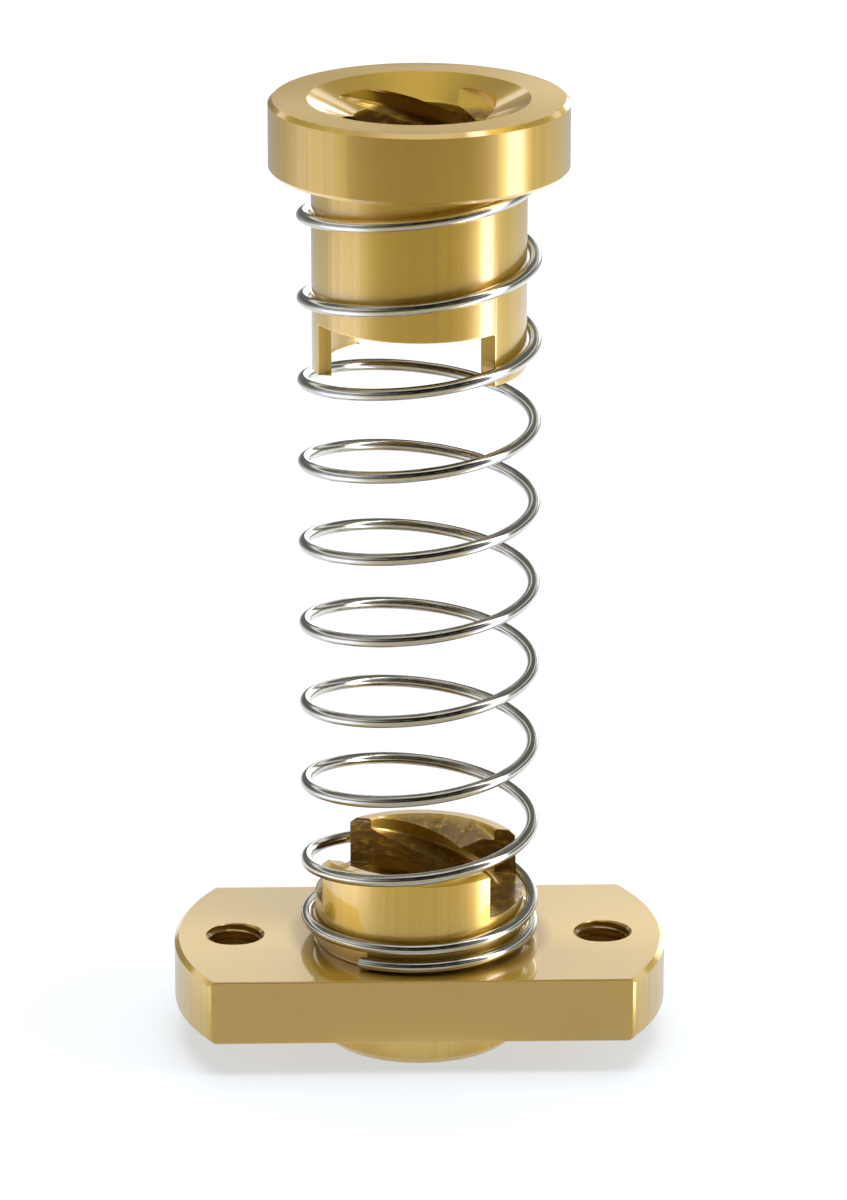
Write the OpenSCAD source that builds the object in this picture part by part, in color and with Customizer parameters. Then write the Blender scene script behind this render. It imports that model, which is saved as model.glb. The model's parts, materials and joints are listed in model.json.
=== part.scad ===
// Spring-loaded anti-backlash nut for a trapezoidal lead screw of 8 mm.
// A flanged nut is bolted to the machine. A follower nut runs on the same screw
// and a compression spring between the two keeps them pushed apart, which takes
// the play out of the thread. Two fingers on the follower drop into a slot
// across the flanged nut, so that the pair can slide but not turn.
// The origin is on the screw axis, at the foot of the flanged nut.

/* [Screw bore] */
// Diameter over the crests of the nut thread, which is the plain bore
bore_d = 6.2; // [4:0.1:8]
// Diameter at the mouth of the chamfer at both ends of the flanged nut's bore
bore_mouth_d = 8.7; // [8.2:0.1:9]
// Outside diameter of the barrel of both nuts
barrel_d = 10.2; // [9.8:0.1:14]

/* [Flange] */
// Thickness of the flange
flange_t = 3.2; // [2:0.1:8]
// Height of the foot boss below the flange
boss_h = 1.7; // [1:0.1:6]
// Chamfer round the bottom of the foot boss
boss_chamfer = 0.35; // [0.1:0.05:0.5]
// Chamfer turned on both edges of the flange rim
rim_chamfer = 0.4; // [0.1:0.05:0.8]
// Edge break along the long edges of the two flats
flat_break = 0.1; // [0.05:0.05:0.3]

/* [Screw holes] */
// Distance between the two tapped holes in the flange
hole_spacing = 18; // [16:0.5:30]
// Core diameter of the tapped holes
hole_core_d = 2.5; // [2:0.1:4]
// Metal between a tapped hole and the flange rim
hole_wall = 1.75; // [1:0.05:4]

/* [Fingers and slot] */
// Direction of the slot and of the fingers, measured from the long side of the flange
finger_angle = -14; // [-90:1:90]
// Width of a finger
finger_w = 5.6; // [4:0.1:7]
// Length of a finger
finger_l = 2.5; // [1.5:0.1:5]
// Thickness of a finger's wall
finger_wall = 0.55; // [0.45:0.05:1.2]
// Play between a finger and each side of the slot
finger_play = 0.1; // [0.05:0.05:0.4]
// Room left between claws and follower when the fingers stand on the slot floor
shoulder_room = 0.2; // [0.2:0.1:1]
// Height of the plain collar between the flange and the slot floor
collar_h = 2.3; // [1:0.1:6]
// Chamfer round the top of the claws
claw_chamfer = 0.25; // [0.1:0.05:0.4]

/* [Follower nut] */
// Thickness of the follower's head
head_t = 3.4; // [2:0.1:8]
// Ledge of the head outside the spring
head_ledge = 1.3; // [0.5:0.1:4]
// Edge break on both edges of the head
head_break = 0.2; // [0.1:0.05:0.5]
// Length of the plain barrel between the head and the fingers
sleeve_l = 7.1; // [4:0.1:15]
// Diameter at the mouth of the countersink in the head
countersink_d = 10.5; // [8.5:0.1:12]
// Slope of the countersink below the face of the head, in degrees
countersink_slope = 24; // [15:1:45]

/* [Spring] */
// Diameter of the spring wire
wire_d = 0.6; // [0.4:0.05:0.9]
// Play between the spring and the barrels
spring_play = 0.1; // [0.08:0.02:0.4]
// Length of the spring when the nut is free, from the flange to the head
spring_free_l = 38.6; // [25:0.1:60]
// Number of turns of wire
spring_turns = 10.3; // [6:0.025:14]
// Rise of the nearly closed first turn
spring_end_pitch = 0.9; // [0.7:0.05:1.5]
// Direction of the wire's lower end, in degrees from the long side of the flange
spring_start_angle = 238; // [0:1:360]
// Flange surface left outside the spring at each flat
spring_land = 0.45; // [0.2:0.05:3]
// Gap between the wire's ends and the faces that they press on
spring_seat_gap = 0.04; // [0.02:0.01:0.1]

/* [Hidden] */

// Facets of the curved faces, where a preview needs them.
$fn = 96;
// Overshoot of a cutter past the face that it opens.
over = 1;

spring_mean_d = barrel_d + 2 * spring_play + wire_d;
spring_outer_d = spring_mean_d + wire_d;
flange_d = hole_spacing + hole_core_d + 2 * hole_wall;
flats_w = spring_outer_d + 2 * spring_land;
slot_w = finger_w + 2 * finger_play;
slot_depth = finger_l - shoulder_room;
relief_d = barrel_d - 2 * finger_wall;
head_d = spring_outer_d + 2 * head_ledge;

flange_bottom_z = boss_h;
flange_top_z = flange_bottom_z + flange_t;
slot_floor_z = flange_top_z + collar_h;
claw_top_z = slot_floor_z + slot_depth;
head_bottom_z = flange_top_z + spring_free_l;
head_top_z = head_bottom_z + head_t;
shoulder_z = head_bottom_z - sleeve_l;
finger_tip_z = shoulder_z - finger_l;

// Sides of the wire's section and rings in one turn of the spring.
wire_sides = 8;
rings_per_turn = 30;
// Where the spring leaves its closed first turn, and over how much of a turn.
closed_turns = 1.09;
easing_turns = 0.25;

// A turned disc or barrel from z0 to z1, with a chamfer at each end.
module turned(d, z0, z1, low_chamfer, high_chamfer) {
    r = d / 2;
    rotate_extrude()
        polygon([
            [0, z0],
            [r - low_chamfer, z0],
            [r, z0 + low_chamfer],
            [r, z1 - high_chamfer],
            [r - high_chamfer, z1],
            [0, z1],
        ]);
}

// A conical cutter that opens a bore at the face at z, going down into it.
// It is mouth_d wide at the face and narrows to tip_d at the given depth.
module mouth_cutter(z, mouth_d, tip_d, depth) {
    flare = (mouth_d - tip_d) / depth * over;
    translate([0, 0, z - depth])
        cylinder(d1 = tip_d, d2 = mouth_d + flare, h = depth + over);
}

// A long bar along X, as wide as the flange is across its flats, whose four
// long edges are broken.
module flats_bar() {
    half_w = flats_w / 2;
    half_t = flange_t / 2;
    translate([-flange_d / 2 - over, 0, flange_bottom_z + half_t])
        rotate([90, 0, 90])
            linear_extrude(flange_d + 2 * over)
                polygon([
                    [-half_w + flat_break, -half_t],
                    [half_w - flat_break, -half_t],
                    [half_w, -half_t + flat_break],
                    [half_w, half_t - flat_break],
                    [half_w - flat_break, half_t],
                    [-half_w + flat_break, half_t],
                    [-half_w, half_t - flat_break],
                    [-half_w, -half_t + flat_break],
                ]);
}

// A block across the barrels, turned to the direction of the fingers.
module cross_block(width, z0, z1) {
    rotate([0, 0, finger_angle])
        translate([-barrel_d, -width / 2, z0])
            cube([2 * barrel_d, width, z1 - z0]);
}

// The flanged nut: foot boss, flange with two flats, and a slotted barrel.
module flange_nut() {
    mouth_depth = (bore_mouth_d - bore_d) / 2;
    color("goldenrod")
        difference() {
            union() {
                turned(barrel_d, 0, claw_top_z, boss_chamfer, claw_chamfer);
                intersection() {
                    turned(flange_d, flange_bottom_z, flange_top_z, rim_chamfer, rim_chamfer);
                    flats_bar();
                }
            }
            translate([0, 0, -over])
                cylinder(d = bore_d, h = claw_top_z + 2 * over);
            mouth_cutter(claw_top_z, bore_mouth_d, bore_d, mouth_depth);
            mirror([0, 0, 1])
                mouth_cutter(0, bore_mouth_d, bore_d, mouth_depth);
            cross_block(slot_w, slot_floor_z, claw_top_z + over);
            for (side = [-1, 1])
                translate([side * hole_spacing / 2, 0, flange_bottom_z - over])
                    cylinder(d = hole_core_d, h = flange_t + 2 * over);
        }
}

// The follower nut: a round head over a barrel that ends in two fingers.
module follower_nut() {
    countersink_depth = (countersink_d - bore_d) / 2 * tan(countersink_slope);
    color("goldenrod")
        difference() {
            union() {
                turned(head_d, head_bottom_z, head_top_z, head_break, head_break);
                turned(barrel_d, shoulder_z, head_bottom_z + head_t / 2, 0, 0);
                intersection() {
                    turned(barrel_d, finger_tip_z, head_bottom_z, 0, 0);
                    cross_block(finger_w, finger_tip_z - over, head_bottom_z);
                }
            }
            translate([0, 0, finger_tip_z - over])
                cylinder(d = bore_d, h = head_top_z - finger_tip_z + 2 * over);
            translate([0, 0, finger_tip_z - over])
                cylinder(d = relief_d, h = finger_l + over);
            mouth_cutter(head_top_z, countersink_d, bore_d, countersink_depth);
        }
}

// How far the pitch has opened, as turns at the full pitch, after t turns.
function opened(t) =
    t < closed_turns ? 0 :
    t < closed_turns + easing_turns ? (t - closed_turns) * (t - closed_turns) / (2 * easing_turns) :
    t - closed_turns - easing_turns / 2;

spring_low_z = wire_d / 2 + spring_seat_gap;
spring_rise = spring_free_l - wire_d - 2 * spring_seat_gap;
// Pitch added by the open turns, so that the wire ends under the head.
spring_open_pitch = (spring_rise - spring_end_pitch * spring_turns) / opened(spring_turns);

// Height of the wire's centre above the flange after t turns.
function wire_z(t) = spring_low_z + spring_end_pitch * t + spring_open_pitch * opened(t);

// Point k of the wire's section after t turns. The section is upright and
// faces along the turn; the slope of a turn is small.
function wire_point(t, k) =
    let (turn = spring_start_angle + 360 * t)
    let (side = 360 * k / wire_sides)
    let (r = spring_mean_d / 2 + wire_d / 2 * cos(side))
    [r * cos(turn), r * sin(turn), flange_top_z + wire_z(t) + wire_d / 2 * sin(side)];

// The compression spring: one length of round wire, closed at its foot.
module spring() {
    rings = round(spring_turns * rings_per_turn);
    points = [
        for (i = [0 : rings])
            for (k = [0 : wire_sides - 1])
                wire_point(spring_turns * i / rings, k)
    ];
    sides = [
        for (i = [0 : rings - 1])
            for (k = [0 : wire_sides - 1])
                let (next = (k + 1) % wire_sides)
                [
                    i * wire_sides + k,
                    i * wire_sides + next,
                    (i + 1) * wire_sides + next,
                    (i + 1) * wire_sides + k,
                ]
    ];
    first_end = [for (k = [wire_sides - 1 : -1 : 0]) k];
    last_end = [for (k = [0 : wire_sides - 1]) rings * wire_sides + k];
    color("silver")
        polyhedron(points, concat(sides, [first_end, last_end]));
}

flange_nut();
spring();
follower_nut();
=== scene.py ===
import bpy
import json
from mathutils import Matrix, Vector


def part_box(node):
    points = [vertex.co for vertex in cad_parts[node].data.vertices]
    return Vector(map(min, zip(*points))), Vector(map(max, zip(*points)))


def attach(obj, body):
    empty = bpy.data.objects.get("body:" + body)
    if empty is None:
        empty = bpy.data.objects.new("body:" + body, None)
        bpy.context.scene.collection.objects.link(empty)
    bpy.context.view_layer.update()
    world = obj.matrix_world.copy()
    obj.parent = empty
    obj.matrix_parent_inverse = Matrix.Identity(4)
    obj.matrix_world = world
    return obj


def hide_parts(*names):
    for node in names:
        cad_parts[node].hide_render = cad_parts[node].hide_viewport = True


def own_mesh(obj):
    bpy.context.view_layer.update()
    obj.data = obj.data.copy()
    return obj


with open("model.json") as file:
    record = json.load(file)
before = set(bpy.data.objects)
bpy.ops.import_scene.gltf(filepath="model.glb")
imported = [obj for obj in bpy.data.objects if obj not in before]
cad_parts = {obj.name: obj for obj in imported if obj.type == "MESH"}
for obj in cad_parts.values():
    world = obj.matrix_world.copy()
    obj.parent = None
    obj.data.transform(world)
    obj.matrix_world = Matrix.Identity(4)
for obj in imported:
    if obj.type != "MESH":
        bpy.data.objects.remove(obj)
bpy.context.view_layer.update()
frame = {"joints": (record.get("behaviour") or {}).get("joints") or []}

import json
import math

import bmesh
import bpy
import numpy as np
from bpy.props import FloatProperty, FloatVectorProperty, IntProperty, PointerProperty
from mathutils import Matrix, Vector

bl_info = {
    "name": "Lead screw nut",
    "version": (1, 0, 0),
    "blender": (4, 5, 0),
    "location": "3D View > Sidebar > Lead screw nut",
    "description": "Builds a spring-loaded anti-backlash nut and the studio round it",
    "category": "Add Mesh",
}

# Shapes are worked out in millimetres, where the solvers' tolerances suit them.
MM = 0.001
FLANGE_HIGH = np.array(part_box("flange_nut")[1]) / MM
HEAD_LOW, HEAD_HIGH = np.array(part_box("follower_nut")) / MM
SLIDE = frame["joints"][0]

# Steps in a full turn of a turned face, of a nut's thread and of a tapped hole
TURN_STEPS, THREAD_STEPS, TAP_STEPS = 192, 120, 48
# How far a cutter and a thread run past the faces that they cut
OVER, THREAD_OVER = 1.0, 0.6
# Half the length of a cutter that runs right across a barrel
ACROSS = 9.0

# The camera's place, what it looks at and its lens: from the front, down by about 19 degrees
CAMERA_PLACE = (-0.006, -0.270, 0.1139)
CAMERA_TARGET = (0.0002, 0, 0.0221)
CAMERA_LENS, CAMERA_SENSOR = 178.0, 36.0


def length(name, description, default):
    return FloatProperty(name=name, description=description, default=default, unit="LENGTH", precision=5)


def degrees(name, description, default):
    return FloatProperty(
        name=name, description=description, default=math.radians(default), subtype="ANGLE"
    )


def colour(name, description, default):
    return FloatVectorProperty(
        name=name, description=description, default=default, subtype="COLOR", size=3, min=0, max=1
    )


class ThreadSizes(bpy.types.PropertyGroup):
    """The trapezoidal thread that both nuts share, and the tapped holes."""

    crest_r: length("Crest radius", "Radius over the crests, which is the bore wall", 0.0031)
    root_r: length("Root radius", "Radius at the bottom of the grooves", 0.00427)
    lead: length("Lead", "Rise of one start in a full turn", 0.008)
    starts: IntProperty(name="Starts", description="Number of grooves side by side", default=4)
    flange_phase: length("Flanged nut phase", "Height of a groove on the +X side", 0.0006)
    follower_phase: length("Follower phase", "Height of a groove on the +X side", 0.00141)
    tap_r: length("Tapped hole radius", "Radius at the bottom of the screw thread", 0.0015)
    tap_core_r: length("Tapped hole core", "Radius over the crests of the screw thread", 0.00125)
    tap_pitch: length("Tapped hole pitch", "Rise of the screw thread in a turn", 0.0005)


class FlangeSizes(bpy.types.PropertyGroup):
    """Sizes of the flanged nut."""

    barrel_r: length("Barrel radius", "Outside of the barrel and of the foot boss", 0.0051)
    mouth_r: length("Mouth radius", "Radius of the chamfers at both ends of the bore", 0.00435)
    boss_h: length("Boss height", "Height of the foot boss below the flange", 0.0017)
    flange_t: length("Flange thickness", "Thickness of the flange", 0.0032)
    rim_chamfer: length("Rim chamfer", "Chamfer on both edges of the rim", 0.00022)
    boss_chamfer: length("Boss chamfer", "Chamfer round the foot", 0.00035)
    claw_chamfer: length("Claw chamfer", "Chamfer round the top of the claws", 0.00025)
    corner_break: length("Corner break", "Break where a flat meets the rim", 0.00022)
    hole_x: length("Hole offset", "Distance of a tapped hole from the screw axis", 0.009)
    slot_w: length("Slot width", "Width of the slot between the claws", 0.0058)
    slot_floor: length("Slot floor", "Height of the slot's floor", 0.0072)
    slot_turn: degrees("Slot direction", "Turn of the slot from the long side of the flange", -14)
    edge: length("Edge break", "Rounding of the machined edges", 0.00006)


class FollowerSizes(bpy.types.PropertyGroup):
    """Sizes of the follower nut."""

    head_t: length("Head thickness", "Thickness of the head", 0.0034)
    head_break: length("Head edge", "Chamfer on both edges of the head", 0.0002)
    countersink_r: length("Countersink radius", "Radius at the mouth of the countersink", 0.00525)
    countersink_slope: degrees("Countersink slope", "Slope below the face", 24)
    finger_w: length("Finger width", "Width of a finger", 0.0056)
    finger_l: length("Finger length", "Length of a finger", 0.0025)
    relief_r: length("Relief radius", "Inner radius of the fingers", 0.00455)


class SpringSizes(bpy.types.PropertyGroup):
    """Sizes of the spring."""

    wire_r: length("Wire radius", "Half the thickness of the wire", 0.0003)
    coil_r: length("Coil radius", "Radius to the middle of the wire", 0.0055)
    free_l: length("Free length", "From the flange to the head", 0.0386)
    seat_gap: length("Seat gap", "Gap between the wire's ends and their seats", 0.00004)
    turns: FloatProperty(name="Turns", description="Turns of wire", default=10.3)
    end_pitch: length("End pitch", "Rise of the nearly closed first turn", 0.0009)
    closed: FloatProperty(name="Closed turns", description="Turns before the pitch opens", default=1.09)
    start: degrees("Start", "Direction of the wire's lower end", 238)


class Finish(bpy.types.PropertyGroup):
    """Colours of the metals and of the studio."""

    brass: colour("Brass", "Colour of the turned brass", (0.755, 0.478, 0.046))
    # Painted shade: the brass darkened inside the bores, the slot walls and the tapped holes
    brass_painted_shade: colour("Deep brass", "Colour of the brass inside bores and grooves", (0.30, 0.175, 0.046))
    steel: colour("Steel", "Colour of the spring wire", (0.61, 0.595, 0.53))
    floor: colour("Floor", "Colour of the studio floor", (0.381, 0.396, 0.414))
    floor_warm: colour("Warm floor", "Colour of the floor front in the metal", (0.49, 0.435, 0.298))
    floor_cool: colour("Cool floor", "Colour of the floor strips in the metal", (0.375, 0.390, 0.62))


GROUPS = {
    "nut_thread": ThreadSizes,
    "nut_flange": FlangeSizes,
    "nut_follower": FollowerSizes,
    "nut_spring": SpringSizes,
    "nut_finish": Finish,
}


def in_mm(group, name):
    return getattr(group, name) / MM


# Surfaces


def mesh_object(name, points, faces):
    mesh = bpy.data.meshes.new(name)
    mesh.from_pydata(points.reshape(-1, 3).tolist(), [], [list(map(int, f)) for f in faces])
    obj = bpy.data.objects.new(name, mesh)
    bpy.context.scene.collection.objects.link(obj)
    return obj


def grid_quads(rows, columns, wrap_rows=False, wrap_columns=False):
    """Corner numbers of the quads of a grid whose points are counted row by row."""
    i = np.arange(rows if wrap_rows else rows - 1)[:, None]
    j = np.arange(columns if wrap_columns else columns - 1)[None, :]
    up, along = (i + 1) % rows, (j + 1) % columns
    quads = (i * columns + j, i * columns + along, up * columns + along, up * columns + j)
    return np.stack(quads, axis=-1).reshape(-1, 4)


def tidy(obj, merge=1e-5):
    """Merges doubled corners and turns the faces outwards."""
    work = bmesh.new()
    work.from_mesh(obj.data)
    bmesh.ops.remove_doubles(work, verts=work.verts, dist=merge)
    bmesh.ops.dissolve_degenerate(work, dist=merge, edges=work.edges)
    bmesh.ops.recalc_face_normals(work, faces=work.faces)
    work.to_mesh(obj.data)
    work.free()
    return obj


def turned(name, section, steps=TURN_STEPS, ring=True):
    """A section of radius and height, turned about the screw axis.

    A point of the surface is (r(s) cos a, r(s) sin a, z(s)), with s round the section. The
    section of a ring is closed. Any other one starts and ends on the axis.
    """
    r, z = np.array(section, float).T
    # The odd share of a step keeps the corners off the planes of the later cuts.
    angle = 2 * np.pi * (np.arange(steps) + 0.37) / steps
    points = np.stack(
        (
            np.outer(np.cos(angle), r),
            np.outer(np.sin(angle), r),
            np.broadcast_to(z, (steps, len(z))),
        ),
        axis=-1,
    )
    return tidy(mesh_object(name, points, grid_quads(steps, len(z), True, ring)))


def prism(name, outline, low, high, turn=0.0):
    """A flat outline raised from low to high and turned about the screw axis."""
    x, y = np.array(outline, float).T
    c, s = math.cos(turn), math.sin(turn)
    ring = np.stack((c * x - s * y, s * x + c * y), axis=-1)
    count = len(ring)
    points = np.concatenate([np.column_stack((ring, np.full(count, z))) for z in (low, high)])
    walls = grid_quads(2, count, wrap_columns=True)
    caps = [list(range(count)), list(range(count, 2 * count))]
    return tidy(mesh_object(name, points, [*walls.tolist(), *caps]))


def thread_core(name, low, high, phase, lead, starts, profile, steps=THREAD_STEPS):
    """The space that a screw fills, from low to high.

    At turn a and height z, d is the distance along the axis to the middle of the nearest
    groove, whose height is phase + lead a + k pitch. The radius is the profile's, as
    pairs of d and radius. Rows of the grid follow the corners of the profile up the
    helix and are cut off level at both ends.
    """
    pitch = lead / starts
    reach, radii = np.array(profile, float).T
    turn = np.linspace(0, 1, steps + 1)
    first = math.floor((low - phase - lead) / pitch) - 1
    last = math.ceil((high - phase) / pitch) + 1
    offsets = np.concatenate((-reach[::-1], reach))
    corners = (np.arange(first, last + 1)[:, None] * pitch + offsets).ravel() + phase
    height = np.clip(corners[None, :] + lead * turn[:, None], low, high)
    away = (height - phase - lead * turn[:, None] + pitch / 2) % pitch - pitch / 2
    radius = np.interp(np.abs(away), reach, radii)
    angle = 2 * np.pi * turn[:, None]
    points = np.stack((radius * np.cos(angle), radius * np.sin(angle), height), axis=-1)
    rows, columns = height.shape
    points = np.concatenate((points.reshape(-1, 3), [[0, 0, low], [0, 0, high]]))
    # A fan closes each end, round a point on the axis.
    foot = np.arange(steps) * columns
    top = foot + columns - 1
    middle = np.full(steps, rows * columns)
    fans = np.concatenate(
        (
            np.column_stack((middle, foot + columns, foot)),
            np.column_stack((middle + 1, top, top + columns)),
        )
    )
    faces = [*grid_quads(rows, columns).tolist(), *fans.tolist()]
    return tidy(mesh_object(name, points, faces), merge=2e-4)


def moved(obj, x):
    """Moves an object's mesh along the long side of the flange."""
    obj.data.transform(Matrix.Translation((x, 0, 0)))
    return obj


def combine(body, tool, operation="DIFFERENCE"):
    """Cuts the tool out of the body, or keeps what they share, and removes the tool."""
    step = body.modifiers.new(operation.lower(), "BOOLEAN")
    step.operation, step.solver, step.object = operation, "MANIFOLD", tool
    settle(body)
    bpy.data.objects.remove(tool)
    if not body.data.polygons:
        raise RuntimeError(f"{body.name} lost its faces in a cut")


def settle(body):
    """Applies the body's modifiers."""
    graph = bpy.context.evaluated_depsgraph_get()
    mesh = bpy.data.meshes.new_from_object(body.evaluated_get(graph), depsgraph=graph)
    body.modifiers.clear()
    old, body.data = body.data, mesh
    bpy.data.meshes.remove(old)


def break_edges(body, width):
    """Rounds every edge that turns by more than 50 degrees."""
    step = body.modifiers.new("edges", "BEVEL")
    step.width, step.segments, step.limit_method = width, 3, "ANGLE"
    step.angle_limit, step.use_clamp_overlap = math.radians(50), False
    step.miter_outer = "MITER_ARC"
    settle(body)


def across_slot(sizes):
    """The level direction square to the slot."""
    return np.array((-math.sin(sizes.slot_turn), math.cos(sizes.slot_turn), 0))


def face_vectors(body, name):
    """The normal or the center of every face."""
    values = np.empty(len(body.data.polygons) * 3)
    body.data.polygons.foreach_get(name, values)
    return values.reshape(-1, 3)


def finish_metal(body, name, material, node, planes):
    """Brings a body to metres, sets its shading and puts it in the CAD node's place.

    Level faces, and those on the planes given as a direction and an offset, are shaded flat.
    Edges that turn by more than 12 degrees stay sharp.
    """
    body.name = body.data.name = name
    normals, centres = face_vectors(body, "normal"), face_vectors(body, "center")
    plain = np.abs(normals[:, 2]) > 0.9999
    for way, offset in planes:
        square = np.abs(normals @ way) > 0.99995
        plain |= square & (np.abs(np.abs(centres @ way) - offset) < 0.01)
    body.data.polygons.foreach_set("use_smooth", ~plain)
    body.data.set_sharp_from_angle(angle=math.radians(12))
    body.data.transform(Matrix.Scale(MM, 4))
    body.data.materials.clear()
    body.data.materials.append(material)
    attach(body, node)
    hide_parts(node)


# Materials


class Signal:
    """An output socket of a shader node. Arithmetic on it adds Math nodes."""

    def __init__(self, tree, socket):
        self.tree, self.socket = tree, socket

    @staticmethod
    def node(tree, kind, settings=None, sockets=None, output=0):
        """Adds a node, sets its settings, then fills its sockets with values or links."""
        made = tree.nodes.new(kind)
        for key, value in (settings or {}).items():
            setattr(made, key, value)
        for key, value in (sockets or {}).items():
            if isinstance(value, Signal):
                tree.links.new(value.socket, made.inputs[key])
            else:
                made.inputs[key].default_value = value
        return Signal(tree, made.outputs[output]) if made.outputs else made

    def math(self, operation, *others):
        sockets = dict(enumerate((self, *others)))
        return self.node(self.tree, "ShaderNodeMath", {"operation": operation}, sockets)

    def flipped(self, operation, other):
        return self.node(self.tree, "ShaderNodeMath", {"operation": operation}, {0: other, 1: self})

    def __add__(self, other):
        return self.math("ADD", other)

    def __sub__(self, other):
        return self.math("SUBTRACT", other)

    def __mul__(self, other):
        return self.math("MULTIPLY", other)

    def __truediv__(self, other):
        return self.math("DIVIDE", other)

    def __pow__(self, other):
        return self.math("POWER", other)

    def __neg__(self):
        return self.math("MULTIPLY", -1.0)

    def __abs__(self):
        return self.math("ABSOLUTE")

    __radd__ = __add__
    __rmul__ = __mul__

    def __rsub__(self, other):
        return self.flipped("SUBTRACT", other)

    def __rtruediv__(self, other):
        return self.flipped("DIVIDE", other)

    def __rpow__(self, other):
        return self.flipped("POWER", other)

    def rise(self, low, high):
        """0 below low, 1 above high and a smooth step between."""
        return self.node(
            self.tree,
            "ShaderNodeMapRange",
            {"interpolation_type": "SMOOTHSTEP"},
            {"Value": self, "From Min": low, "From Max": high},
        )

    def hump(self, middle, width):
        """1 at the middle, falling off like a bell."""
        return math.e ** -(((self - middle) / width) ** 2.0)

    def shelf(self, middle, reach):
        """1 round the middle, falling off fast at reach to either side."""
        return math.e ** -((abs(self - middle) / reach) ** 4.0)

    def blend(self, low, high):
        """A colour that goes from low to high with this signal."""
        return self.node(
            self.tree, "ShaderNodeMix", {"data_type": "RGBA"}, {0: self, 6: low, 7: high}, output=2
        )


def split(tree, vector):
    """The three parts of a vector signal."""
    parts = Signal.node(tree, "ShaderNodeSeparateXYZ", sockets={0: vector})
    return [Signal(tree, s) for s in parts.socket.node.outputs]


def join(tree, x, y, z):
    return Signal.node(tree, "ShaderNodeCombineXYZ", sockets={0: x, 1: y, 2: z})


def noise(tree, vector, scale, detail=2.0, rough=0.5):
    return Signal.node(
        tree,
        "ShaderNodeTexNoise",
        None,
        {"Vector": vector, "Scale": scale, "Detail": detail, "Roughness": rough},
    )


def rgb(values):
    return (*values, 1.0)


def tinted(values, factors):
    """A colour with each of its parts made stronger or weaker."""
    return rgb([min(1.0, value * factor) for value, factor in zip(values, factors)])


def new_material(name):
    material = bpy.data.materials.new(name)
    material.use_nodes = True
    tree = material.node_tree
    tree.nodes.clear()
    return material, tree


def place_in_mm(tree):
    """The place on the piece, in millimetres."""
    spot = Signal.node(tree, "ShaderNodeTexCoord", output=3)
    return Signal.node(
        tree, "ShaderNodeVectorMath", {"operation": "SCALE"}, {0: spot, "Scale": 1 / MM}
    )


def brass_zones(scene, x, y, z, radius):
    """Where the brass is milled, cut inside and tapped, and where shade is painted round the spring's
    seat, as signals from 0 to 1.
    """
    s, t, spring = scene.nut_flange, scene.nut_thread, scene.nut_spring
    # The front and the back of the follower's head lie past the flats and share their finish.
    milled = abs(y).rise(FLANGE_HIGH[1] - 0.06, FLANGE_HIGH[1] - 0.03)
    root = in_mm(t, "root_r")
    # The countersink keeps the colour of the outside.
    sunk = z.rise(HEAD_HIGH[2] - 1.3, HEAD_HIGH[2] - 1.0)
    bore = (1 - radius.rise(root - 0.35, root + 0.1)) * (1 - sunk)
    half, floor = in_mm(s, "slot_w") / 2, in_mm(s, "slot_floor")
    across = abs(y * math.cos(s.slot_turn) - x * math.sin(s.slot_turn))
    above = z.rise(floor - 0.1, floor - 0.03)
    below = 1 - z.rise(FLANGE_HIGH[2] + 1.5, FLANGE_HIGH[2] + 2.5)
    slot_walls = (1 - across.rise(half + 0.01, half + 0.06)) * above * below
    hole = ((abs(x) - in_mm(s, "hole_x")) ** 2.0 + y * y) ** 0.5
    tap_r = in_mm(t, "tap_r")
    tapped = 1 - hole.rise(tap_r - 0.14, tap_r - 0.06)
    inside = bore.math("MAXIMUM", slot_walls).math("MAXIMUM", tapped)
    # The foot of the barrel and the flange round it are darkened where the spring sits: painted shade
    # under the coil.
    coil_edge = in_mm(spring, "coil_r") + in_mm(spring, "wire_r")
    seat = in_mm(s, "boss_h") + in_mm(s, "flange_t") - 0.02
    near_seat = z.rise(seat - 0.02, seat) * (1 - z.rise(seat + 0.2, seat + 1.2))
    seat_shade = (1 - radius.rise(coil_edge, coil_edge + 0.9)) * near_seat
    return milled, inside, tapped, seat_shade


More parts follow.
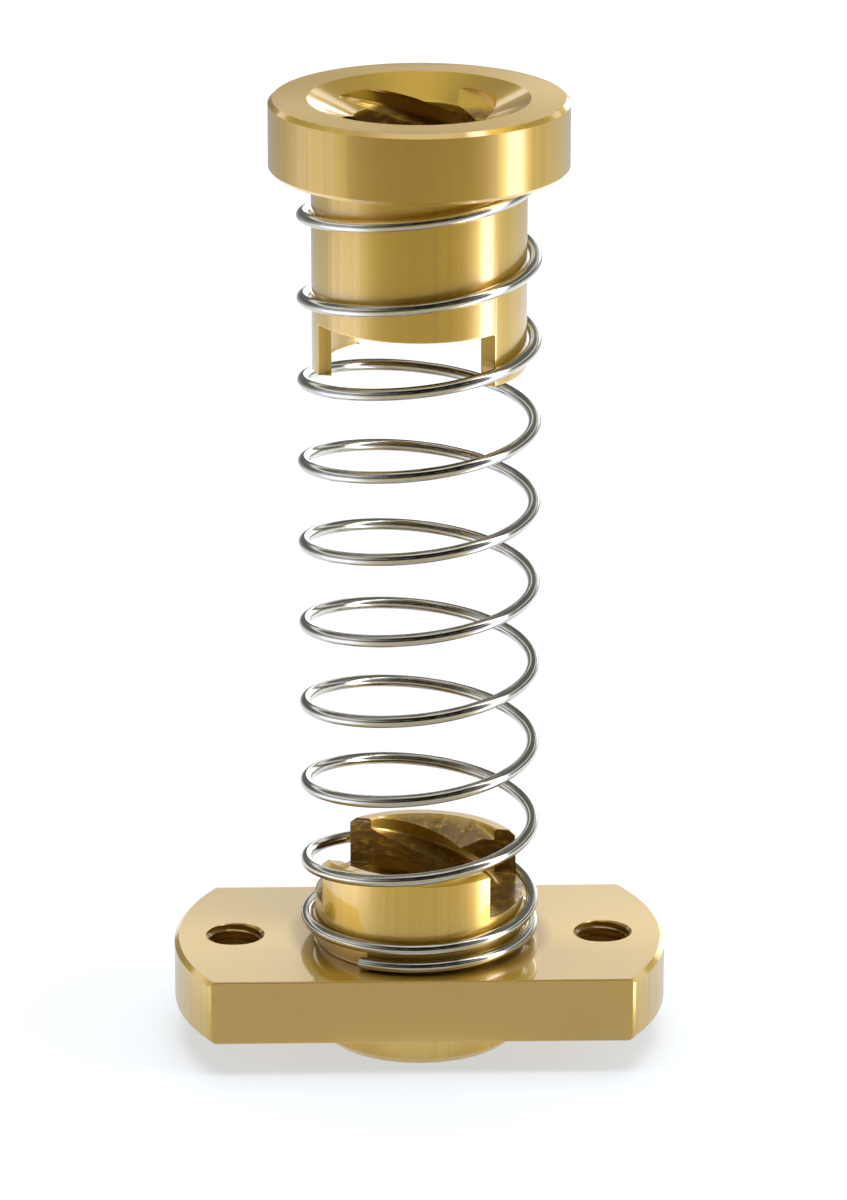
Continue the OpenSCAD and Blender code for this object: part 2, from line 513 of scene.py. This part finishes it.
def turned_brass(name, scene):
    """Bright turned brass: fine rings from the lathe, faint streaks down the upright faces,
    straight marks on the milled flats, slow changes of colour and gloss, painted shade in the bores,
    slots and tapped holes and round the spring's seat, and torn, bumped cut threads with painted glints."""
    material, tree = new_material(name)
    finish = scene.nut_finish
    place = place_in_mm(tree)
    x, y, z = split(tree, place)
    radius = (x * x + y * y) ** 0.5
    milled, inside, tapped, seat_shade = brass_zones(scene, x, y, z, radius)
    torn_with_glints = inside * (1 - tapped)
    _, _, lean = split(tree, Signal.node(tree, "ShaderNodeTexCoord", output=1))
    upright = (1 - abs(lean).rise(0.3, 0.7)) * (1 - milled) * (1 - inside)

    # Along a turned face either the radius or the height changes, so their sum counts the rings.
    mark = (radius + z) * (1 - milled) + z * milled
    rings = noise(tree, join(tree, mark * 4.0, 0.0, 0.0), 1.0, 2.0, 0.5)
    bands = noise(tree, join(tree, mark * 1.7, 3.0, 0.0), 1.0, 2.0, 0.5)
    cloud = noise(tree, place, 0.35, 3.0, 0.55)
    streaks = noise(tree, join(tree, x * 2.4, y * 2.4, 0.0), 1.0, 2.0, 0.6).rise(0.46, 0.66)
    # Chips and glints on the cut threads: in the colour they are painted glints, in the bump real
    # roughness
    chips_and_glints = noise(tree, join(tree, x * 1.4, y * 1.4, z * 4.2), 1.0, 3.0, 0.6)
    glints = noise(tree, join(tree, x * 2.2, y * 2.2, z * 3.8), 1.0, 3.0, 0.65)

    tone = (bands - 0.5) * 0.22 + (cloud - 0.5) * 0.55 + 0.5
    skin = tone.blend(tinted(finish.brass, (0.95, 0.915, 0.83)), tinted(finish.brass, (1.04, 1.06, 1.12)))
    skin = milled.blend(skin, tinted(finish.brass, (0.88, 0.86, 1.2)))
    # Painted shade in the bores, slots and tapped holes, with a little random tone
    recess_shade_and_glints = inside * (0.97 - 0.6 * chips_and_glints.rise(0.50, 0.72) + 0.3 * (cloud - 0.5))
    # Painted glints lighten the torn thread in patches
    recess_shade_and_glints = recess_shade_and_glints - torn_with_glints * 0.65 * glints.rise(0.54, 0.62)
    # The painted shade round the spring's seat and faint streaks on the upright faces darken it further
    shade_and_streaks = recess_shade_and_glints.math("MAXIMUM", seat_shade * 0.6).math("MAXIMUM", streaks * upright * 0.16)
    base = shade_and_streaks.blend(skin, rgb(finish.brass_painted_shade))
    rough = 0.31 + (cloud - 0.5) * 0.10 + (rings - 0.5) * 0.05 - inside * 0.12
    cuts = (chips_and_glints - 0.5) * inside * 30.0 + (glints - 0.5) * torn_with_glints * 60.0
    height = (rings - 0.5) * 0.5 + (bands - 0.5) * 0.8 + cuts
    bump = Signal.node(
        tree, "ShaderNodeBump", None, {"Strength": 1.0, "Distance": 6e-7, "Height": height}
    )
    shader = Signal.node(
        tree,
        "ShaderNodeBsdfPrincipled",
        None,
        {
            "Base Color": base,
            "Metallic": 0.74,
            "Roughness": rough,
            "Anisotropic": 0.68,
            "Anisotropic Rotation": 0.25,
            "Coat Weight": 1.0 - (0.4 * inside).math("MAXIMUM", seat_shade * 0.3),
            "Coat Roughness": 0.06,
            "Coat IOR": 2.0,
            "Normal": bump,
        },
    )
    Signal.node(tree, "ShaderNodeOutputMaterial", None, {"Surface": shader})
    return material


def drawn_steel(name, finish):
    """Bright spring wire: streaks drawn out along it, and a few dull patches."""
    material, tree = new_material(name)
    around = Signal.node(tree, "ShaderNodeAttribute", {"attribute_name": "around"}, output=1)
    along = Signal.node(tree, "ShaderNodeAttribute", {"attribute_name": "along"}, output=2)
    u, v, _ = split(tree, around)
    streaks = noise(tree, join(tree, u * 3.2, v * 3.2, along * 0.25), 1.0, 3.0, 0.6)
    fine = noise(tree, join(tree, u * 11.0, v * 11.0, along * 1.2), 1.0, 2.0, 0.6)
    patch = noise(tree, join(tree, u * 0.4, v * 0.4, along * 0.45), 1.0, 3.0, 0.55)
    tone = (streaks - 0.5) * 1.1 + (patch - 0.5) * 0.8 + 0.55
    base = tone.blend(tinted(finish.steel, (0.80, 0.775, 0.74)), rgb(finish.steel))
    rough = 0.14 + (patch - 0.5) * 0.16 + (streaks - 0.5) * 0.12
    bump = Signal.node(
        tree,
        "ShaderNodeBump",
        None,
        {"Strength": 1.0, "Distance": 2.2e-6, "Height": streaks * 0.8 + fine * 0.4},
    )
    shader = Signal.node(
        tree,
        "ShaderNodeBsdfPrincipled",
        None,
        {"Base Color": base, "Metallic": 1.0, "Roughness": rough, "Normal": bump},
    )
    Signal.node(tree, "ShaderNodeOutputMaterial", None, {"Surface": shader})
    return material


def studio_ring(tree, x, y, spread=0.0):
    """The direction from the front, and how bright the studio is all round as three signals
    of it: the dark front, the narrow strip at the right and the wide one at the left. The
    spread brings both strips nearer the front."""
    azimuth = Signal.node(tree, "ShaderNodeMath", {"operation": "ARCTAN2"}, {0: x, 1: -y})
    panels = noise(tree, join(tree, azimuth * 5.0, 0.0, 0.0), 1.0, 4.0, 0.7)
    lines = noise(tree, join(tree, azimuth * 13.0, 5.0, 0.0), 1.0, 3.0, 0.6).rise(0.36, 0.62)
    front = azimuth.shelf(0.06, 0.98) * (1.38 - 0.3 * panels - 0.5 * lines)
    right = (azimuth + spread).shelf(1.335, 0.16)
    left = (azimuth - spread).shelf(-1.52, 0.48) * (0.35 + 1.2 * lines)
    return azimuth, front, right, left


def studio_floor(name, finish):
    """White floor. In the metal it shows a warm, darker front, a cool strip at each side and
    a brighter right rear. They change with the distance from the screw axis, because each
    part of the nut mirrors its own ring of the floor: the foot up to 10 mm, the flange's
    front up to 21, the claws about 30, the follower's barrel about 120, its head about 140."""
    material, tree = new_material(name)
    place = Signal.node(tree, "ShaderNodeTexCoord", output=3)
    x, y, _ = split(tree, place)
    away = (x * x + y * y) ** 0.5
    azimuth, front, right, left = studio_ring(tree, x, y, 0.003 / away.math("MAXIMUM", 0.01))
    in_metal = Signal.node(tree, "ShaderNodeLightPath", output=3)
    past_flange, past_claws = away.rise(0.016, 0.030), away.rise(0.03, 0.06)
    skirt = azimuth.shelf(1.22, 0.34)
    strips = (3.5 * right + 0.4 * skirt + 0.62 * left) * past_flange
    side = 0.26 * azimuth.hump(2.25, 0.75) * past_claws
    by_claws = 0.06 * front * away.hump(0.031, 0.008)
    by_flange = 0.34 * (front - 1) * (1 - away.rise(0.018, 0.025))
    by_foot = 0.36 * (1 - away.rise(0.009, 0.012))
    near = 1.27 - 0.78 * away.rise(0.08, 0.17)
    lit = (0.78 - 0.36 * front + side - by_claws + strips) * near + by_flange + by_foot
    far = 1 + 0.3 * away.rise(0.12, 0.5)
    shade = (1 - in_metal) * far + in_metal * lit
    speck = noise(tree, place, 35.0, 2.0)
    tint = (speck * 0.4 + 0.3).blend(tinted(finish.floor, (0.985,) * 3), rgb(finish.floor))
    warm = in_metal * front * away.rise(0.018, 0.028)
    cool = in_metal * (skirt + left * 0.6) * past_claws
    tint = warm.blend(tint, rgb(finish.floor_warm))
    tint = cool.blend(tint, rgb(finish.floor_cool))
    colour_now = Signal.node(
        tree, "ShaderNodeVectorMath", {"operation": "SCALE"}, {0: tint, "Scale": shade}
    )
    shader = Signal.node(
        tree,
        "ShaderNodeBsdfPrincipled",
        None,
        {
            "Base Color": colour_now,
            "Roughness": 1.0,
            "Specular IOR Level": 0.0,
            # The floor glows with its own colour: painted light that softens its shadows and, in the
            # metal, paints the studio's front, strips and rear
            "Emission Color": colour_now,
            "Emission Strength": 1.38,
        },
    )
    Signal.node(tree, "ShaderNodeOutputMaterial", None, {"Surface": shader})
    return material


def studio_world():
    """Soft white room with a darker front, a strip at each side, a bright band at the
    height that the flange's top mirrors, a lamp low at the rear and a bright ceiling. The
    camera sees plain white."""
    world = bpy.data.worlds.new("Studio")
    bpy.context.scene.world = world
    world.use_nodes = True
    tree = world.node_tree
    tree.nodes.clear()
    x, y, z = split(tree, Signal.node(tree, "ShaderNodeTexCoord", output=0))
    azimuth, front, right, left = studio_ring(tree, x, y)
    up = z.rise(0.90, 0.95)
    rear = azimuth.hump(2.85, 0.32) * (1 - z.rise(0.185, 0.225))
    band = 0.17 + 1.09 * (z.rise(0.31, 0.345) - z.rise(0.40, 0.48))
    walls = band * (1 - front * 0.95) + 4.5 * right + 0.4 * left + 5.0 * rear
    level = walls * (1 - up) + up * 1.2
    seen = Signal.node(tree, "ShaderNodeLightPath", output=0)
    strength = level * (1 - seen) + seen
    back = Signal.node(
        tree, "ShaderNodeBackground", None, {"Color": (1, 1, 1, 1), "Strength": strength}
    )
    Signal.node(tree, "ShaderNodeOutputWorld", None, {"Surface": back})


# Pieces


class BuildFlangedNut(bpy.types.Operator):
    """Builds the flanged nut: foot boss, flange with two flats, slotted and threaded barrel"""

    bl_idname = "lead_nut.flanged_nut"
    bl_label = "Flanged nut"

    def execute(self, context):
        scene = context.scene
        s, t = scene.nut_flange, scene.nut_thread
        mouth, barrel, crest = in_mm(s, "mouth_r"), in_mm(s, "barrel_r"), in_mm(t, "crest_r")
        rim, flat, top = FLANGE_HIGH
        low = in_mm(s, "boss_h")
        high = low + in_mm(s, "flange_t")
        rc, bc, cc = in_mm(s, "rim_chamfer"), in_mm(s, "boss_chamfer"), in_mm(s, "claw_chamfer")
        # The chamfers of the bore slope at 45 degrees.
        depth = mouth - crest
        body = turned(
            "flanged_nut",
            [
                (mouth, 0),
                (barrel - bc, 0),
                (barrel, bc),
                (barrel, low),
                (rim - rc, low),
                (rim, low + rc),
                (rim, high - rc),
                (rim - rc, high),
                (barrel + 0.1, high),
                (barrel + 0.03, high + 0.03),
                (barrel, high + 0.1),
                (barrel, top - cc),
                (barrel - cc, top),
                (mouth, top),
                (crest, top - depth),
                (crest, depth),
            ],
        )
        outline = flats_outline(rim, flat, in_mm(s, "corner_break"))
        combine(body, prism("flats", outline, -OVER, top + OVER), "INTERSECT")
        half = in_mm(s, "slot_w") / 2
        slot = [(-ACROSS, -half), (ACROSS, -half), (ACROSS, half), (-ACROSS, half)]
        combine(body, prism("slot", slot, in_mm(s, "slot_floor"), top + OVER, s.slot_turn))
        break_edges(body, in_mm(s, "edge"))
        phase = in_mm(t, "flange_phase")
        combine(body, nut_thread(t, -THREAD_OVER, top + THREAD_OVER, phase))
        for side in (-1, 1):
            combine(body, moved(tap_cutter(t, low, high), side * in_mm(s, "hole_x")))
        planes = [(np.array((0, 1, 0)), flat), (across_slot(s), half)]
        finish_metal(body, "flanged_nut", shared_brass(scene), "flange_nut", planes)
        return {"FINISHED"}


def flats_outline(rim, flat, corner_break):
    """The flange's two flats as an outline. Where a flat meets the round rim, the corner is
    broken along a line that lies halfway between the two."""
    # A little under half of the break lies on the flat.
    corner = math.sqrt(rim**2 - flat**2) - corner_break * 0.45
    lean, run = math.acos(flat / rim) / 2, 3
    quarter = [(corner, flat), (corner + run * math.cos(lean), flat - run * math.sin(lean))]
    right = quarter + [(x, -y) for x, y in reversed(quarter)]
    return right + [(-x, y) for x, y in reversed(right)]


class BuildFollowerNut(bpy.types.Operator):
    """Builds the follower nut: countersunk head, threaded barrel and two fingers"""

    bl_idname = "lead_nut.follower_nut"
    bl_label = "Follower nut"

    def execute(self, context):
        scene = context.scene
        f, s, t = scene.nut_follower, scene.nut_flange, scene.nut_thread
        crest, barrel, relief = in_mm(t, "crest_r"), in_mm(s, "barrel_r"), in_mm(f, "relief_r")
        tip, top, head_r = HEAD_LOW[2], HEAD_HIGH[2], HEAD_HIGH[0]
        under = top - in_mm(f, "head_t")
        root = tip + in_mm(f, "finger_l")
        sink, eb = in_mm(f, "countersink_r"), in_mm(f, "head_break")
        body = turned(
            "follower_nut",
            [
                (relief, tip),
                (barrel, tip),
                (barrel, under),
                (head_r - eb, under),
                (head_r, under + eb),
                (head_r, top - eb),
                (head_r - eb, top),
                (sink, top),
                (crest, top - (sink - crest) * math.tan(f.countersink_slope)),
                (crest, root),
                (relief, root),
            ],
        )
        half = in_mm(f, "finger_w") / 2
        for side in (-1, 1):
            near, far = side * half, side * ACROSS
            gap = [(-ACROSS, near), (ACROSS, near), (ACROSS, far), (-ACROSS, far)]
            combine(body, prism("gap", gap, tip - OVER, root, s.slot_turn))
        break_edges(body, in_mm(s, "edge"))
        phase = in_mm(t, "follower_phase")
        combine(body, nut_thread(t, root - 1.5 * THREAD_OVER, top + THREAD_OVER, phase))
        planes = [(across_slot(s), half)]
        finish_metal(body, "follower_nut_body", shared_brass(scene), "follower_nut", planes)
        return {"FINISHED"}


def nut_thread(t, low, high, phase):
    """The screw's own space. Its flanks lean by 15 degrees and its grooves are half a pitch
    wide at mid-depth, with small fillets at the root."""
    root, pitch, lean = in_mm(t, "root_r"), in_mm(t, "lead") / t.starts, math.tan(math.radians(15))
    # Between the grooves the screw stays clear of the bore's wall.
    clear = in_mm(t, "crest_r") - 0.1
    middle = (root + in_mm(t, "crest_r")) / 2
    wide, narrow = pitch / 4 + (middle - clear) * lean, pitch / 4 - (root - middle) * lean
    profile = [(narrow - 0.08, root), (narrow + 0.01, root - 0.06), (wide, clear)]
    return thread_core("screw", low, high, phase, in_mm(t, "lead"), t.starts, profile)


def tap_cutter(t, low, high):
    """A tapped hole: its 60 degree thread, with the mouths opened a little."""
    core, root, pitch = in_mm(t, "tap_core_r"), in_mm(t, "tap_r"), in_mm(t, "tap_pitch")
    past, land, phase = 0.4, 0.03, 0.1
    profile = [(land, root - 0.01), (land + (root - core) * math.tan(math.radians(30)), core)]
    hole = thread_core("tap", low - past, high + past, phase, pitch, 1, profile, TAP_STEPS)
    # The cone of a mouth slopes at 45 degrees and is 0.17 mm wider than the core at the face.
    for level, way in ((high, 1), (low, -1)):
        deep, out = level - way * 0.3, level + way * 0.2
        section = [(0, deep), (core - 0.13, deep), (core + 0.37, out), (0, out)]
        combine(hole, turned("mouth", section, TAP_STEPS, ring=False), "UNION")
    return hole


def shared_brass(scene):
    """The brass of both nuts, made once."""
    name = "Turned brass"
    return bpy.data.materials.get(name) or turned_brass(name, scene)


def wire_tube(radius, sides=16):
    """A node group that gives a line of points a round wire, with the distance along it and
    the direction round it kept on every corner."""
    group = bpy.data.node_groups.new("Round wire", "GeometryNodeTree")
    group.interface.new_socket("Geometry", in_out="INPUT", socket_type="NodeSocketGeometry")
    group.interface.new_socket("Geometry", in_out="OUTPUT", socket_type="NodeSocketGeometry")
    add, link = group.nodes.new, group.links.new
    given, result = add("NodeGroupInput"), add("NodeGroupOutput")
    # The section is a circle that keeps its own points as the direction round the wire.
    circle = add("GeometryNodeCurvePrimitiveCircle")
    circle.inputs["Resolution"].default_value = sides
    circle.inputs["Radius"].default_value = radius
    where = add("GeometryNodeInputPosition")
    grow = add("ShaderNodeVectorMath")
    grow.operation = "SCALE"
    grow.inputs["Scale"].default_value = 1 / radius
    link(where.outputs[0], grow.inputs[0])
    store = add("GeometryNodeStoreNamedAttribute")
    store.data_type, store.domain = "FLOAT_VECTOR", "POINT"
    store.inputs["Name"].default_value = "around"
    link(circle.outputs["Curve"], store.inputs["Geometry"])
    link(grow.outputs[0], store.inputs["Value"])
    line = add("GeometryNodeMeshToCurve")
    link(given.outputs[0], line.inputs["Mesh"])
    tube = add("GeometryNodeCurveToMesh")
    tube.inputs["Fill Caps"].default_value = True
    link(line.outputs[0], tube.inputs["Curve"])
    link(store.outputs["Geometry"], tube.inputs["Profile Curve"])
    smooth = add("GeometryNodeSetShadeSmooth")
    link(tube.outputs[0], smooth.inputs["Geometry"])
    paint = add("GeometryNodeSetMaterial")
    link(smooth.outputs[0], paint.inputs["Geometry"])
    link(paint.outputs[0], result.inputs[0])
    return group, paint


class BuildSpring(bpy.types.Operator):
    """Builds the spring: one wire wound round both barrels"""

    bl_idname = "lead_nut.spring"
    bl_label = "Spring"

    def execute(self, context):
        scene = context.scene
        s = scene.nut_spring
        points, along = coil(s, scene.nut_flange.boss_h + scene.nut_flange.flange_t)
        mesh = bpy.data.meshes.new("spring_wire")
        mesh.from_pydata(points.tolist(), [(i, i + 1) for i in range(len(points) - 1)], [])
        distance = mesh.attributes.new("along", "FLOAT", "POINT")
        distance.data.foreach_set("value", along.astype(np.float32))
        wire = bpy.data.objects.new("spring_wire", mesh)
        scene.collection.objects.link(wire)
        steel = drawn_steel("Drawn steel", scene.nut_finish)
        mesh.materials.append(steel)
        group, paint = wire_tube(s.wire_r)
        paint.inputs["Material"].default_value = steel
        wire.modifiers.new("wire", "NODES").node_group = group
        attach(wire, "flange_nut")
        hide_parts("spring")
        low = points[0][2]
        travel = max(abs(v) for v in SLIDE["range_m"])
        keep = 1 - travel / (points[-1][2] - low)
        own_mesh(wire)
        return {"FINISHED"}


def coil(s, seat):
    """The middle of the wire, as points and as the distance along it in millimetres.

    After t turns the height is seat + end_pitch t + extra o(t). The opening o is 0 for the
    closed turn, then a parabola over a quarter of a turn, then a straight line, and extra
    brings the last point under the head.
    """
    closed, easing, steps_a_turn = s.closed, 0.25, 110
    t = np.linspace(0, s.turns, int(s.turns * steps_a_turn))
    opened = np.where(
        t < closed,
        0,
        np.where(t < closed + easing, (t - closed) ** 2 / (2 * easing), t - closed - easing / 2),
    )
    low = s.wire_r + s.seat_gap
    rise = s.free_l - 2 * low
    extra = (rise - s.end_pitch * s.turns) / opened[-1]
    height = seat + low + s.end_pitch * t + extra * opened
    angle = s.start + 2 * np.pi * t
    points = np.column_stack((s.coil_r * np.cos(angle), s.coil_r * np.sin(angle), height))
    steps = np.linalg.norm(np.diff(points, axis=0), axis=1)
    return points, np.concatenate(([0], np.cumsum(steps))) / MM


class BuildStage(bpy.types.Operator):
    """Lays the floor, hangs the lamp and sets up the camera"""

    bl_idname = "lead_nut.stage"
    bl_label = "Stage"

    def execute(self, context):
        scene = context.scene
        scene.view_settings.view_transform = "Standard"
        # The floor is six metres wide, in squares of half a metre.
        rows = 13
        side = np.linspace(-3, 3, rows)
        x, y = np.meshgrid(side, side)
        points = np.stack((x, y, np.zeros_like(x)), axis=-1)
        floor = mesh_object("floor", points, grid_quads(rows, rows))
        floor.data.materials.append(studio_floor("Studio floor", scene.nut_finish))
        studio_world()
        softbox("Top softbox", (0.02, 0.05, 0.62), (0, 0, 0.02), 0.55, 4.0)
        camera_data = bpy.data.cameras.new("Camera")
        camera_data.lens, camera_data.sensor_width = CAMERA_LENS, CAMERA_SENSOR
        camera_data.clip_start, camera_data.clip_end = 0.01, 20
        camera = bpy.data.objects.new("Camera", camera_data)
        camera.location = CAMERA_PLACE
        aim(camera, CAMERA_TARGET)
        scene.collection.objects.link(camera)
        scene.camera = camera
        return {"FINISHED"}


def aim(obj, target):
    way = Vector(target) - obj.location
    obj.rotation_euler = way.to_track_quat("-Z", "Y").to_euler()


def softbox(name, place, target, size, power):
    """A soft square lamp that the metal does not mirror."""
    data = bpy.data.lights.new(name, "AREA")
    data.shape, data.size, data.energy = "SQUARE", size, power
    obj = bpy.data.objects.new(name, data)
    obj.location = place
    aim(obj, target)
    obj.visible_glossy = False
    bpy.context.scene.collection.objects.link(obj)


class LeadNutPanel(bpy.types.Panel):
    """Sizes, colours and the steps that build the nut"""

    bl_idname = "VIEW3D_PT_lead_nut"
    bl_label = "Lead screw nut"
    bl_space_type = "VIEW_3D"
    bl_region_type = "UI"
    bl_category = "Lead screw nut"

    def draw(self, context):
        for name, group in GROUPS.items():
            box = self.layout.box()
            box.label(text=group.__doc__)
            for key in group.__annotations__:
                box.prop(getattr(context.scene, name), key)
        for step in STEPS:
            self.layout.operator(step.bl_idname)


STEPS = (BuildFlangedNut, BuildFollowerNut, BuildSpring, BuildStage)


def register():
    for group in GROUPS.values():
        bpy.utils.register_class(group)
    for step in STEPS:
        bpy.utils.register_class(step)
    bpy.utils.register_class(LeadNutPanel)
    for name, group in GROUPS.items():
        setattr(bpy.types.Scene, name, PointerProperty(type=group))


def unregister():
    for name in GROUPS:
        delattr(bpy.types.Scene, name)
    bpy.utils.unregister_class(LeadNutPanel)
    for step in reversed(STEPS):
        bpy.utils.unregister_class(step)
    for group in reversed(list(GROUPS.values())):
        bpy.utils.unregister_class(group)


def main():
    register()
    bpy.ops.lead_nut.flanged_nut()
    bpy.ops.lead_nut.follower_nut()
    bpy.ops.lead_nut.spring()
    bpy.ops.lead_nut.stage()


if __name__ == "__main__":
    main()
